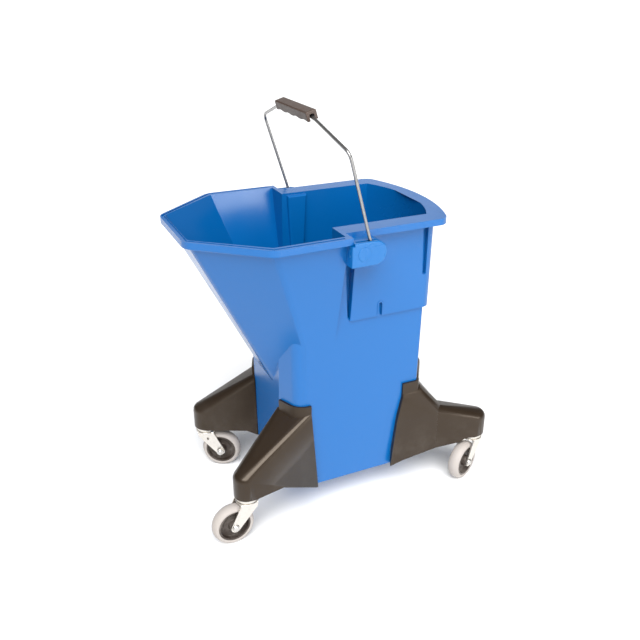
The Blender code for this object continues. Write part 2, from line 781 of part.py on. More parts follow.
def main():
    body = bucket_body()
    pivot_cap("pivot_cap_left", -1)
    pivot_cap("pivot_cap_right", 1)
    pivot = empty("bail_pivot", (PIVOT_X, 0, PIVOT_Z), turn=(0, LEAN, 0))
    wire("handle_bail", bail_route(), WIRE_R, "wire_chrome", pivot)
    bail_grip(pivot)
    clearances = {
        "gap": tank_clearance(),
        "wall": tank_solid("leg_wall_clearance", -LEG_WALL, BASE_Z - LEG_WALL, TANK_TOP[0]),
    }
    for row, stem in (("front", FRONT_STEM), ("rear", REAR_STEM)):
        for side, label in ((-1, "left"), (1, "right")):
            name = row + "_" + label
            make_leg(name + "_leg", row, side, body, clearances)
            castor(name, stem, side)


main()
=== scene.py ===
import math
import bmesh
import bpy
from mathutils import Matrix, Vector


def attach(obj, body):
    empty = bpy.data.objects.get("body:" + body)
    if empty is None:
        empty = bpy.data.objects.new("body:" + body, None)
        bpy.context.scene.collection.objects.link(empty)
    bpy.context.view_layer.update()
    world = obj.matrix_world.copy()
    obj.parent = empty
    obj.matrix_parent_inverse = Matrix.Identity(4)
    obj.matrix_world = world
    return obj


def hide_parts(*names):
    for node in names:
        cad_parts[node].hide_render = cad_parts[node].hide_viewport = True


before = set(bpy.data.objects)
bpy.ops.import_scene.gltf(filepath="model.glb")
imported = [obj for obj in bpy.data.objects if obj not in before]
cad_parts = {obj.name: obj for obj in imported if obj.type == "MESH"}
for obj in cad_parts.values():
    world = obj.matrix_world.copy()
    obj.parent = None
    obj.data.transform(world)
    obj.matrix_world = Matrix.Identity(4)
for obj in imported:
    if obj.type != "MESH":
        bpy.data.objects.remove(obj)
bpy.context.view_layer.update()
print("frame loaded:", len(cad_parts), "nodes")


# select, edit, apply
def deselect():
    if bpy.context.object and bpy.context.object.mode != "OBJECT":
        bpy.ops.object.mode_set(mode="OBJECT")
    bpy.ops.object.select_all(action="DESELECT")


def activate(piece):
    deselect()
    piece.select_set(True)
    bpy.context.view_layer.objects.active = piece


def editMode(piece, kind="EDGE"):
    activate(piece)
    bpy.ops.object.mode_set(mode="EDIT")
    bpy.ops.mesh.select_mode(type=kind)
    bpy.ops.mesh.select_all(action="DESELECT")


def objectMode():
    bpy.ops.object.mode_set(mode="OBJECT")


def selectAll():
    bpy.ops.mesh.select_all(action="SELECT")


def faceOut():  # turns every face of the piece in edit mode outwards
    selectAll()
    bpy.ops.mesh.normals_make_consistent(inside=False)
    objectMode()


def place(name, data):
    piece = bpy.data.objects.new(name, data)
    bpy.context.scene.collection.objects.link(piece)
    return piece


def settle(piece):
    activate(piece)
    bpy.ops.object.transform_apply(location=True, rotation=True, scale=True)
    return piece


def addBlock(name, low, high):
    deselect()
    centre = [(a + b) / 2 for a, b in zip(low, high)]
    bpy.ops.mesh.primitive_cube_add(size=1, location=centre)
    block = bpy.context.object
    block.name = name
    block.data.name = name
    block.scale = [b - a for a, b in zip(low, high)]
    return settle(block)


def addDrum(name, radius, low, high, steps=48, spot=(0, 0)):  # a drum along Z
    deselect()
    middle = (*spot, (low + high) / 2)
    bpy.ops.mesh.primitive_cylinder_add(vertices=steps, radius=radius, depth=high - low, location=middle)
    drum = bpy.context.object
    drum.name = name
    drum.data.name = name
    return settle(drum)


def layAlongY(piece, x, z, side=-1):  # a drum made along Z then points to -Y, or to +Y for side 1
    piece.rotation_euler = (math.radians(-90 * side), 0, 0)
    piece.location = (x, 0, z)
    return settle(piece)


def carve(piece, cuts):  # keeps what lies behind each cutting plane
    editMode(piece)
    for point, normal in cuts:
        selectAll()
        bpy.ops.mesh.bisect(plane_co=point, plane_no=normal.normalized(), use_fill=True,
                            clear_outer=True, threshold=0.000001)
    objectMode()
    return piece


def hullOf(name, points):  # stretches a skin round a set of points
    mesh = bpy.data.meshes.new(name)
    mesh.from_pydata([tuple(p) for p in points], [], [])
    piece = place(name, mesh)
    editMode(piece, "VERT")
    selectAll()
    bpy.ops.mesh.convex_hull()
    selectAll()
    bpy.ops.mesh.dissolve_limited(angle_limit=math.radians(0.4))
    faceOut()
    return piece


def roundEdges(piece, width, steps, test):  # bevels the edges that pass a test
    editMode(piece)
    mesh = bmesh.from_edit_mesh(piece.data)
    found = 0
    for edge in mesh.edges:
        edge.select = len(edge.link_faces) == 2 and test(edge)
        found += edge.select
    mesh.select_flush_mode()
    bmesh.update_edit_mesh(piece.data)
    if found:
        bpy.ops.mesh.bevel(offset=width, segments=steps, affect="EDGES", clamp_overlap=True)
    objectMode()
    return piece


def bend(edge):  # how sharply the two faces of an edge meet, in degrees
    return math.degrees(edge.calc_face_angle(0))


def combine(piece, other, way, keep=False):
    activate(piece)
    bpy.ops.object.modifier_add(type="BOOLEAN")
    modifier = piece.modifiers[-1]
    modifier.operation = way
    modifier.object = other
    modifier.solver = "EXACT"
    bpy.ops.object.modifier_apply(modifier=modifier.name)
    if not keep:
        bpy.data.objects.remove(other, do_unlink=True)
    return piece


def join(piece, *others):
    for other in others:
        combine(piece, other, "UNION")
    return piece


def cut(piece, *others):
    for other in others:
        combine(piece, other, "DIFFERENCE")
    return piece


def tidyMesh(piece, distance=0.00002):
    editMode(piece, "VERT")
    selectAll()
    bpy.ops.mesh.remove_doubles(threshold=distance)
    faceOut()
    return piece


def smooth(piece, angle=35, even=True):
    activate(piece)
    bpy.ops.object.shade_smooth_by_angle(angle=math.radians(angle))
    if even:
        bpy.ops.object.modifier_add(type="WEIGHTED_NORMAL")
        modifier = piece.modifiers[-1]
        modifier.keep_sharp = True
        bpy.ops.object.modifier_apply(modifier=modifier.name)
    return piece


def copyOf(piece, name):
    twin = place(name, piece.data.copy())
    twin.data.name = name
    return twin


def mirrored(piece, name):  # the same piece on the other side
    twin = copyOf(piece, name)
    twin.scale = (1, -1, 1)
    settle(twin)
    editMode(twin, "FACE")
    faceOut()
    return twin


def spun(name, profile, steps=64):  # spins a (radius, height) profile about Z
    mesh = bpy.data.meshes.new(name)
    edges = [(i, (i + 1) % len(profile)) for i in range(len(profile))]
    mesh.from_pydata([(r, 0, h) for r, h in profile], edges, [])
    piece = place(name, mesh)
    editMode(piece, "VERT")
    selectAll()
    bpy.ops.mesh.spin(steps=steps, angle=math.radians(360), center=(0, 0, 0), axis=(0, 0, 1))
    objectMode()
    tidyMesh(piece)
    editMode(piece)
    selectAll()
    bpy.ops.mesh.delete_loose()  # the profile's run along the axis
    objectMode()
    return piece


def finishPiece(piece, material, body, slot, *nodes):
    piece.data.materials.clear()
    piece.data.materials.append(material)
    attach(piece, body)
    if nodes:
        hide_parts(*nodes)


# shader groups shared by the materials
def newGroup(name, inputs, outputs):
    group = bpy.data.node_groups.new(name, "ShaderNodeTree")
    for label, kind, value in inputs:
        socket = group.interface.new_socket(name=label, in_out="INPUT", socket_type=kind)
        if value is not None:
            socket.default_value = value
    for label, kind in outputs:
        group.interface.new_socket(name=label, in_out="OUTPUT", socket_type=kind)
    start = group.nodes.new("NodeGroupInput")
    stop = group.nodes.new("NodeGroupOutput")
    return group, start, stop


def addNode(tree, kind, **settings):
    node = tree.nodes.new(kind)
    for key, value in settings.items():
        setattr(node, key, value)
    return node


def noise(tree, vector, scale, detail=3.0, roughness=0.5):
    node = addNode(tree, "ShaderNodeTexNoise")
    node.inputs["Detail"].default_value = detail
    node.inputs["Roughness"].default_value = roughness
    tree.links.new(vector, node.inputs["Vector"])
    if isinstance(scale, (int, float)):
        node.inputs["Scale"].default_value = scale
    else:
        tree.links.new(scale, node.inputs["Scale"])
    return node.outputs["Fac"]


def sums(tree, operation, a, b):
    node = addNode(tree, "ShaderNodeMath", operation=operation)
    for socket, value in zip(node.inputs, (a, b)):
        if isinstance(value, (int, float)):
            socket.default_value = value
        else:
            tree.links.new(value, socket)
    return node.outputs[0]


def times(tree, a, b):
    return sums(tree, "MULTIPLY", a, b)


def plus(tree, a, b):
    return sums(tree, "ADD", a, b)


def minus(tree, a, b):
    return sums(tree, "SUBTRACT", a, b)


def mixColour(tree, factor, a, b):
    node = addNode(tree, "ShaderNodeMix", data_type="RGBA")
    for key, value in (("Factor", factor), ("A", a), ("B", b)):
        socket = next(s for s in node.inputs if s.name == key and s.enabled)
        if isinstance(value, (int, float)):
            socket.default_value = value
        elif isinstance(value, tuple):
            socket.default_value = (*value, 1.0)
        else:
            tree.links.new(value, socket)
    return next(s for s in node.outputs if s.enabled)


def rampTo(tree, value, low, high):
    node = addNode(tree, "ShaderNodeMapRange", interpolation_type="SMOOTHSTEP")
    node.inputs["From Min"].default_value = low
    node.inputs["From Max"].default_value = high
    tree.links.new(value, node.inputs["Value"])
    return node.outputs["Result"]


def mouldedSkin():  # slow cloudiness in the colour, fine orange peel and a few rubbed patches
    group, start, stop = newGroup("mouldedSkin", [
        ("Vector", "NodeSocketVector", None),
        ("Colour", "NodeSocketColor", (0.5, 0.5, 0.5, 1)),
        ("Rubbed Colour", "NodeSocketColor", (0.5, 0.5, 0.5, 1)),
        ("Cloud", "NodeSocketFloat", 0.3),
        ("Rubbing", "NodeSocketFloat", 0.2),
        ("Roughness", "NodeSocketFloat", 0.4),
        ("Grain Scale", "NodeSocketFloat", 900.0),
    ], [("Colour", "NodeSocketColor"), ("Roughness", "NodeSocketFloat"), ("Height", "NodeSocketFloat")])
    vector = start.outputs["Vector"]
    cloud = times(group, noise(group, vector, 5.5, 2), start.outputs["Cloud"])
    patches = rampTo(group, noise(group, vector, 34.0, 5, 0.62), 0.56, 0.74)
    rubbing = times(group, patches, start.outputs["Rubbing"])
    share = plus(group, cloud, rubbing)
    colour = mixColour(group, share, start.outputs["Colour"], start.outputs["Rubbed Colour"])
    grain = noise(group, vector, start.outputs["Grain Scale"], 2)
    swell = noise(group, vector, 38.0, 1)
    height = plus(group, times(group, grain, 0.5), times(group, swell, 0.5))
    shine = times(group, minus(group, noise(group, vector, 17.0, 3), 0.5), 0.16)
    rough = plus(group, start.outputs["Roughness"], shine)
    group.links.new(colour, stop.inputs["Colour"])
    group.links.new(plus(group, rough, times(group, rubbing, 0.3)), stop.inputs["Roughness"])
    group.links.new(height, stop.inputs["Height"])
    return group


def platedSkin():  # the faint crystal cloud of zinc plate, with fine handling marks
    group, start, stop = newGroup("platedSkin", [
        ("Vector", "NodeSocketVector", None),
        ("Colour", "NodeSocketColor", (0.7, 0.7, 0.7, 1)),
        ("Dull Colour", "NodeSocketColor", (0.5, 0.5, 0.5, 1)),
        ("Roughness", "NodeSocketFloat", 0.3),
    ], [("Colour", "NodeSocketColor"), ("Roughness", "NodeSocketFloat"), ("Height", "NodeSocketFloat")])
    vector = start.outputs["Vector"]
    cells = addNode(group, "ShaderNodeTexVoronoi")
    cells.inputs["Scale"].default_value = 260.0
    group.links.new(vector, cells.inputs["Vector"])
    marks = rampTo(group, noise(group, vector, 90.0, 6, 0.7), 0.5, 0.72)
    crystal = times(group, cells.outputs["Distance"], 0.6)
    share = plus(group, times(group, crystal, 0.5), times(group, marks, 0.4))
    group.links.new(mixColour(group, share, start.outputs["Colour"], start.outputs["Dull Colour"]),
                    stop.inputs["Colour"])
    rough = plus(group, start.outputs["Roughness"], times(group, share, 0.28))
    group.links.new(rough, stop.inputs["Roughness"])
    group.links.new(noise(group, vector, 700.0, 3), stop.inputs["Height"])
    return group


def floorDust():  # more dust low down, broken up by a noise
    group, start, stop = newGroup("floorDust", [
        ("Vector", "NodeSocketVector", None),
        ("Colour", "NodeSocketColor", (0.5, 0.5, 0.5, 1)),
        ("Dust Colour", "NodeSocketColor", (0.42, 0.38, 0.34, 1)),
        ("Amount", "NodeSocketFloat", 0.25),
    ], [("Colour", "NodeSocketColor"), ("Mask", "NodeSocketFloat")])
    vector = start.outputs["Vector"]
    axes = addNode(group, "ShaderNodeSeparateXYZ")
    group.links.new(vector, axes.inputs[0])
    low = rampTo(group, minus(group, 0.2, axes.outputs["Z"]), 0.0, 0.2)
    mask = times(group, rampTo(group, noise(group, vector, 26.0, 6, 0.65), 0.42, 0.72), low)
    mask = times(group, mask, start.outputs["Amount"])
    group.links.new(mixColour(group, mask, start.outputs["Colour"], start.outputs["Dust Colour"]),
                    stop.inputs["Colour"])
    group.links.new(mask, stop.inputs["Mask"])
    return group


groups = {"moulded": mouldedSkin(), "plated": platedSkin(), "dust": floorDust()}


def newMaterial(name, look):
    material = bpy.data.materials.new(name)
    material.use_nodes = True
    tree = material.node_tree
    shader = tree.nodes["Principled BSDF"]
    coords = addNode(tree, "ShaderNodeTexCoord").outputs["Object"]
    skin = addNode(tree, "ShaderNodeGroup")
    skin.node_tree = groups[look["skin"]]
    tree.links.new(coords, skin.inputs["Vector"])
    for key, value in look["values"].items():
        skin.inputs[key].default_value = (*value, 1.0) if isinstance(value, tuple) else value
    colour = skin.outputs["Colour"]
    if look.get("dust"):
        dust = addNode(tree, "ShaderNodeGroup")
        dust.node_tree = groups["dust"]
        dust.inputs["Amount"].default_value = look["dust"]
        tree.links.new(coords, dust.inputs["Vector"])
        tree.links.new(colour, dust.inputs["Colour"])
        colour = dust.outputs["Colour"]
    tree.links.new(colour, shader.inputs["Base Color"])
    tree.links.new(skin.outputs["Roughness"], shader.inputs["Roughness"])
    bump = addNode(tree, "ShaderNodeBump")
    bump.inputs["Strength"].default_value = look["bump"]
    bump.inputs["Distance"].default_value = 0.0004
    tree.links.new(skin.outputs["Height"], bump.inputs["Height"])
    tree.links.new(bump.outputs["Normal"], shader.inputs["Normal"])
    for key, value in look["shader"].items():
        shader.inputs[key].default_value = (*value, 1.0) if isinstance(value, tuple) else value
    return material


looks = {
    "bluePlastic": dict(skin="moulded", bump=0.04, dust=0.0, shader={"Specular IOR Level": 0.55}, values={
        "Colour": (0.0, 0.106, 0.35), "Rubbed Colour": (0.004, 0.13, 0.39),
        "Cloud": 0.16, "Rubbing": 0.0, "Roughness": 0.24, "Grain Scale": 1200.0}),
    "blueCap": dict(skin="moulded", bump=0.05, dust=0.0, shader={"Specular IOR Level": 0.55}, values={
        "Colour": (0.0, 0.12, 0.37), "Rubbed Colour": (0.004, 0.145, 0.41),
        "Cloud": 0.16, "Rubbing": 0.02, "Roughness": 0.27, "Grain Scale": 1200.0}),
    "blackPlastic": dict(skin="moulded", bump=0.16, dust=0.06, shader={"Specular Tint": (1, 0.86, 0.72)},
                         values={
        "Colour": (0.014, 0.008, 0.004), "Rubbed Colour": (0.028, 0.018, 0.011),
        "Cloud": 0.25, "Rubbing": 0.12, "Roughness": 0.32, "Grain Scale": 900.0}),
    "gripPlastic": dict(skin="moulded", bump=0.3, dust=0.0, shader={}, values={
        "Colour": (0.05, 0.028, 0.019), "Rubbed Colour": (0.09, 0.06, 0.045),
        "Cloud": 0.4, "Rubbing": 0.5, "Roughness": 0.44, "Grain Scale": 1100.0}),
    "hubPlastic": dict(skin="moulded", bump=0.2, dust=0.3, shader={"Specular Tint": (1.0, 0.9, 0.82)}, values={
        "Colour": (0.022, 0.015, 0.012), "Rubbed Colour": (0.07, 0.055, 0.045),
        "Cloud": 0.3, "Rubbing": 0.35, "Roughness": 0.42, "Grain Scale": 1100.0}),
    "greyRubber": dict(skin="moulded", bump=0.35, dust=0.5, shader={"Specular IOR Level": 0.35}, values={
        "Colour": (0.4, 0.365, 0.34), "Rubbed Colour": (0.3, 0.27, 0.25),
        "Cloud": 0.25, "Rubbing": 0.35, "Roughness": 0.58, "Grain Scale": 1500.0}),
    "brightZinc": dict(skin="plated", bump=0.12, dust=0.0, shader={"Metallic": 1.0}, values={
        "Colour": (0.74, 0.7, 0.64), "Dull Colour": (0.52, 0.5, 0.47), "Roughness": 0.28}),
    "wirePlate": dict(skin="plated", bump=0.1, dust=0.0, shader={"Metallic": 1.0}, values={
        "Colour": (0.36, 0.355, 0.35), "Dull Colour": (0.24, 0.235, 0.23), "Roughness": 0.3}),
    "boltSteel": dict(skin="plated", bump=0.16, dust=0.0, shader={"Metallic": 1.0}, values={
        "Colour": (0.66, 0.64, 0.61), "Dull Colour": (0.44, 0.42, 0.4), "Roughness": 0.34}),
}
materials = {name: newMaterial(name, look) for name, look in looks.items()}
print("materials made:", len(materials))


# outlines seen from above
def bowedEnd(cornerX, half, bulge, steps=24):
    radius = (half * half + bulge * bulge) / (2 * bulge)
    swing = math.asin(half / radius)
    middle = cornerX + bulge - radius
    angles = [swing * (2 * i / steps - 1) for i in range(steps + 1)]
    return [(middle + radius * math.cos(a), radius * math.sin(a)) for a in angles]


def tankOutline(level):
    front = [(level["cornerX"], level["side"]), (level["frontX"], level["front"])]
    front += [(x, -y) for x, y in reversed(front)]
    return bowedEnd(level["endX"], level["side"], level["bulge"]) + front


def panelOutline(level):
    left = [(level["left"], level["side"]), (level["left"], -level["side"])]
    return bowedEnd(level["endX"], level["side"], level["bulge"]) + left


def bothSides(half):
    return [(x, -y) for x, y in half] + [(x, y) for x, y in reversed(half)]


def inset(outline, distance):  # moves each side of an anticlockwise outline inwards
    count = len(outline)
    lines = []
    for i in range(count):
        start = Vector(outline[i])
        along = (Vector(outline[(i + 1) % count]) - start).normalized()
        lines.append((start + Vector((-along.y, along.x)) * distance, along))
    moved = []
    for i in range(count):
        (a, u), (b, v) = lines[i - 1], lines[i]
        reach = ((b.x - a.x) * v.y - (b.y - a.y) * v.x) / (u.x * v.y - u.y * v.x)
        moved.append((a.x + u.x * reach, a.y + u.y * reach))
    return moved


def wallCuts(lowZ, lowOutline, highZ, highOutline):  # one cutting plane per side, through its top edge
    cuts = []
    count = len(highOutline)
    for i in range(count):
        j = (i + 1) % count
        a = Vector((*highOutline[i], highZ))
        b = Vector((*highOutline[j], highZ))
        foot = (Vector((*lowOutline[i], lowZ)) + Vector((*lowOutline[j], lowZ))) / 2
        normal = (a - foot).cross(b - foot)
        out = (b - a).cross(Vector((0, 0, 1)))
        cuts.append((a, normal if normal.dot(out) > 0 else -normal))
    return cuts


def followsLine(low, high, reach=0.004):  # picks the edges of one leaning corner, on both sides
    a, b = Vector(low), Vector(high)

    def test(edge):
        for vert in edge.verts:
            spot = Vector((vert.co.x, abs(vert.co.y), vert.co.z))
            share = (spot.z - a.z) / (b.z - a.z)
            if (spot - a.lerp(b, share)).length > reach:
                return False
        rise = abs(edge.verts[0].co.z - edge.verts[1].co.z)
        return rise > 0.7 * edge.calc_length() * abs((b - a).normalized().z) and bend(edge) > 4
    return test


tank = {
    "base": dict(z=0.055, frontX=-0.125, front=0.058, cornerX=-0.103, side=0.1027, endX=0.124, bulge=0.026),
    "shoulder": dict(z=0.375, frontX=-0.129, front=0.063, cornerX=-0.11, side=0.11, endX=0.126, bulge=0.03),
    "top": dict(z=0.5334, frontX=-0.129, front=0.063, cornerX=-0.11, side=0.108, endX=0.128, bulge=0.031),
    "wall": 0.004, "sideRound": 0.017, "frontRound": 0.008, "endRound": 0.01, "baseRound": 0.004,
}
hopper = {
    "top": ((-0.2705, 0.0694), (-0.1641, 0.1569), (-0.041, 0.1558)), "topZ": 0.5374,
    "foot": ((-0.1024, 0.0309), (-0.0479, 0.0758), (-0.041, 0.0766)), "footZ": 0.2,
    "wall": 0.0045, "creaseRound": 0.007,
}
rim = {
    "outline": ((-0.2745, 0.072), (-0.166, 0.1652), (-0.0382, 0.1635)),
    "low": 0.5254, "high": 0.5374, "cornerRound": 0.011, "edgeRound": 0.0014,
    "ridge": 0.0036, "groove": 0.0042, "grooveDeep": 0.0018, "stop": -0.05, "underRound": 0.002,
}
panel = {
    "low": dict(z=0.375, left=-0.0167, side=0.115, endX=0.132, bulge=0.031),
    "high": dict(z=0.5334, left=-0.009, side=0.1175, endX=0.133, bulge=0.032),
    "cornerRound": 0.01, "ledgeRound": 0.0042, "leftRound": 0.003,
}
flange = {
    "outline": dict(left=-0.045, side=0.137, endX=0.145, bulge=0.0318),
    "thick": 0.004, "deep": 0.011, "skirt": 0.0035,
    "cornerRound": 0.014, "leftRound": 0.006, "underRound": 0.01, "roofRound": 0.0015,
}
channel = {
    "left": -0.026, "high": 0.528, "tipX": -0.019, "tipWide": 0.003, "tipZ": 0.379, "floor": 0.101,
    "past": 0.1165, "ribInner": 0.098, "ribTop": 0.533, "ribPast": 0.01, "ribTip": (-0.008, 0.011),
    "ribBelow": 0.012, "ribRound": 0.004,
}
endGroove = {"top": (0.113, 0.1232, 0.5235), "tip": (0.1172, 0.1238, 0.436), "floor": 0.109, "round": 0.003}
notch = {"x": 0.039, "half": 0.0034, "top": 0.3965, "floor": 0.1105, "lip": 0.0024, "proud": 0.0014,
         "sunk": 0.001, "start": 0.003, "round": 0.0008}
ear = {
    "x": -0.0025, "z": 0.5105, "r": 0.0195, "left": -0.0424, "inner": 0.116, "face": 0.159,
    "rootLow": (-0.0424, 0.106, 0.491), "rootHigh": (-0.006, 0.135, 0.5354),
    "capInner": 0.1652, "capOuter": 0.1692, "slotFloor": 0.4988, "heel": -0.0345, "gap": 0.0003,
    "bore": 0.0028, "boreEnd": 0.1387, "mouth": 0.0045, "mouthDeep": 0.002,
    "past": 0.002,
}
pivot = {"x": -0.0036, "z": 0.51, "lean": -16.5}
screws = {"heights": (0.1, 0.15), "bossR": 0.007, "bossLong": 0.015, "bossRound": 0.003,
          "boreR": 0.0025, "boreLong": 0.012, "bowShare": 0.75}
reachOut = 0.03  # how far a cutter runs past the shell


def tankForm(name, offset, floorZ, topZ):
    piece = addBlock(name, (-0.4, -0.4, floorZ), (0.4, 0.4, topZ))
    rings = {key: inset(tankOutline(tank[key]), offset) for key in ("base", "shoulder", "top")}
    carve(piece, wallCuts(tank["base"]["z"], rings["base"], tank["shoulder"]["z"], rings["shoulder"]))
    carve(piece, wallCuts(tank["shoulder"]["z"], rings["shoulder"], tank["top"]["z"], rings["top"]))
    cornerLines = []
    for low, high in (("base", "shoulder"), ("shoulder", "top")):
        for index, size in ((-4, tank["sideRound"]), (-3, tank["frontRound"]), (-5, tank["endRound"])):
            a = (rings[low][index][0], abs(rings[low][index][1]), tank[low]["z"])
            b = (rings[high][index][0], abs(rings[high][index][1]), tank[high]["z"])
            cornerLines.append((a, b, max(0.003, size - offset)))
    for index, size in ((0, cornerLines[0][2]), (1, cornerLines[1][2]), (2, cornerLines[2][2])):
        tests = [followsLine(cornerLines[index][0], cornerLines[index][1]),
                 followsLine(cornerLines[index + 3][0], cornerLines[index + 3][1])]
        roundEdges(piece, size, 8, lambda edge: any(test(edge) for test in tests))
    if floorZ < 0.2:
        base = tank["baseRound"] + max(0.0, offset) * 0.8
        roundEdges(piece, base, 4, lambda edge: all(abs(v.co.z - floorZ) < 0.0001 for v in edge.verts))
    return piece


def hopperForm(name, offset, topZ):
    share = (topZ - hopper["footZ"]) / (hopper["topZ"] - hopper["footZ"])
    crown = [Vector(a).lerp(Vector(b), share) for a, b in zip(hopper["foot"], hopper["top"])]
    low = inset(bothSides(hopper["foot"]), offset)
    high = inset(bothSides([tuple(p) for p in crown]), offset)
    piece = addBlock(name, (-0.5, -0.4, hopper["footZ"]), (0.3, 0.4, topZ))
    carve(piece, wallCuts(hopper["footZ"], low, topZ, high))
    for index in (0, 1):
        a = (low[index][0], abs(low[index][1]), hopper["footZ"])
        b = (high[index][0], abs(high[index][1]), topZ)
        roundEdges(piece, hopper["creaseRound"], 6, followsLine(a, b))
    return piece


def plateForm(name, outline, lowZ, highZ):
    piece = addBlock(name, (-0.5, -0.4, lowZ), (0.5, 0.4, highZ))
    return carve(piece, wallCuts(lowZ, outline, highZ, outline))


def upright(edge):
    a, b = edge.verts
    return abs(a.co.z - b.co.z) > 0.9 * edge.calc_length()


def crossing(edge, least):  # runs across the piece for at least this far
    return abs(edge.verts[0].co.y - edge.verts[1].co.y) > least


def alongX(edge):
    return abs(edge.verts[0].co.x - edge.verts[1].co.x) > 0.01


def sharp(edge):
    return bend(edge) > 60


def corner(edge):  # an upright corner of a plate
    return upright(edge) and bend(edge) > 20


def atHeight(z, reach=0.0001):
    return lambda edge: all(abs(v.co.z - z) < reach for v in edge.verts)


def arc(x, z, radius, start, stop, steps):  # points round (x, z), between two angles in degrees
    turns = [math.radians(start + (stop - start) * i / steps) for i in range(steps + 1)]
    return [(x + radius * math.cos(t), z + radius * math.sin(t)) for t in turns]


def ring(x, z, radius, steps=28):
    return arc(x, z, radius, 0, 360, steps)[:-1]


def wedge(name, side, inner, outer, outline):  # an outline in XZ run through from one Y to another
    points = [(x, side * y, z) for x, z in outline for y in (inner, outer)]
    return hullOf(name, points)


def dShape(steps=20):
    nose = arc(ear["x"], ear["z"], ear["r"], -90, 90, steps)
    return nose + [(ear["left"], ear["z"] + ear["r"]), (ear["left"], ear["z"] - ear["r"])]


def screwSeats(row):  # where a leg's screws enter the wall, on the far side
    seats = []
    for height in screws["heights"]:
        share = (height - tank["base"]["z"]) / (tank["shoulder"]["z"] - tank["base"]["z"])
        mix = {key: low + (tank["shoulder"][key] - low) * share for key, low in tank["base"].items()}
        if row == "front":
            point = Vector(((mix["frontX"] + mix["cornerX"]) / 2, (mix["front"] + mix["side"]) / 2, height))
            inward = Vector((mix["side"] - mix["front"], mix["frontX"] - mix["cornerX"], 0)).normalized()
        else:
            radius = (mix["side"] ** 2 + mix["bulge"] ** 2) / (2 * mix["bulge"])
            swing = screws["bowShare"] * math.asin(mix["side"] / radius)
            inward = Vector((-math.cos(swing), -math.sin(swing), 0))
            point = Vector((mix["endX"] + mix["bulge"] - radius, 0, height)) - inward * radius
        seats.append((point, inward))
    return seats


def addScrewBosses(shell):
    for row in ("front", "rear"):
        for point, inward in screwSeats(row):
            for side in (-1, 1):
                way = Vector((inward.x, side * inward.y, 0))
                boss = addDrum("screwBoss", screws["bossR"], 0.001, screws["bossLong"], 28)
                roundEdges(boss, screws["bossRound"], 4, atHeight(screws["bossLong"]))
                bore = addDrum("screwBore", screws["boreR"], -0.015, screws["boreLong"], 20)
                for piece in (boss, bore):
                    piece.rotation_euler = way.to_track_quat("Z", "Y").to_euler()
                    piece.location = (point.x, side * point.y, point.z)
                    settle(piece)
                join(shell, boss)
                cut(shell, bore)


def makeRimGroove(shell):  # the rim's top is a shallow channel between two ridges
    outer = inset(bothSides(rim["outline"]), rim["ridge"])
    inner = inset(bothSides(rim["outline"]), rim["ridge"] + rim["groove"])
    trough = plateForm("rimTrough", outer, rim["high"] - rim["grooveDeep"], rim["high"] + reachOut)
    cut(trough, plateForm("rimIsland", inner, rim["high"] - reachOut, rim["high"] + 2 * reachOut))
    cut(trough, addBlock("rimStop", (rim["stop"], -0.3, 0.4), (0.3, 0.3, 0.7)))
    cut(shell, trough)


def makeFlange():  # the wide rim round the tank's end, hollow underneath
    outline, low = panelOutline(flange["outline"]), rim["high"] - flange["thick"]
    seat = plateForm("flangeForm", outline, rim["high"] - flange["deep"], rim["high"])
    roundEdges(seat, flange["cornerRound"], 6, lambda e: corner(e) and e.verts[0].co.x > 0.1)
    roundEdges(seat, flange["leftRound"], 4, lambda e: upright(e) and sharp(e) and e.verts[0].co.x < 0)
    under = plateForm("flangeUnder", inset(outline, flange["skirt"]), rim["high"] - 2 * flange["deep"], low)
    roundEdges(under, flange["underRound"], 4, lambda e: corner(e) and e.verts[0].co.x > 0.1)
    roundEdges(under, flange["roofRound"], 3, atHeight(low))
    return cut(seat, under)


def makePanel():  # the proud band round the tank's end, standing on a rounded ledge
    low, high = panel["low"], panel["high"]
    wrap = addBlock("panelForm", (-0.1, -0.3, low["z"]), (0.3, 0.3, high["z"]))
    carve(wrap, wallCuts(low["z"], panelOutline(low), high["z"], panelOutline(high)))
    roundEdges(wrap, panel["cornerRound"], 6, lambda e: corner(e) and e.verts[0].co.x > 0.1)
    roundEdges(wrap, panel["leftRound"], 4, lambda e: upright(e) and bend(e) > 40 and e.verts[0].co.x < 0)
    return roundEdges(wrap, panel["ledgeRound"], 4, atHeight(low["z"]))


def addSideForms(shell, side, tag):  # end groove, notch with its collar, and the ear
    (left, right, top), (tipLeft, tipRight, tip) = endGroove["top"], endGroove["tip"]
    run = [(left, top), (right, top), (tipLeft, tip), (tipRight, tip)]
    trench = wedge("endGroove" + tag, side, endGroove["floor"], endGroove["floor"] + reachOut, run)
    cut(shell, roundEdges(trench, endGroove["round"], 4, lambda e: bend(e) > 40 and crossing(e, 0.02)))
    x, floor, ledge = notch["x"], notch["floor"], panel["low"]["z"]
    outer = panel["low"]["side"] + notch["proud"]

    def archOf(half, foot):
        return arc(x, notch["top"], half, 0, 180, 10) + [(x - half, foot), (x + half, foot)]
    hood = wedge("notchCollar" + tag, side, floor - notch["sunk"], outer,
                 archOf(notch["half"] + notch["lip"], ledge + notch["start"]))
    roundEdges(hood, notch["round"], 2, lambda e: all(abs(abs(v.co.y) - outer) < 0.0001 for v in e.verts))
    join(shell, hood)
    cut(shell, wedge("notchCut" + tag, side, floor, floor + reachOut, archOf(notch["half"], ledge - 0.004)))
    low, high = ear["rootLow"], ear["rootHigh"]
    root = [(low[0], low[2]), (high[0], low[2]), (low[0], high[2]), (high[0], high[2])]
    join(shell, wedge("earRoot" + tag, side, low[1], high[1], root))
    join(shell, wedge("earBlock" + tag, side, ear["inner"], ear["face"], dShape()))


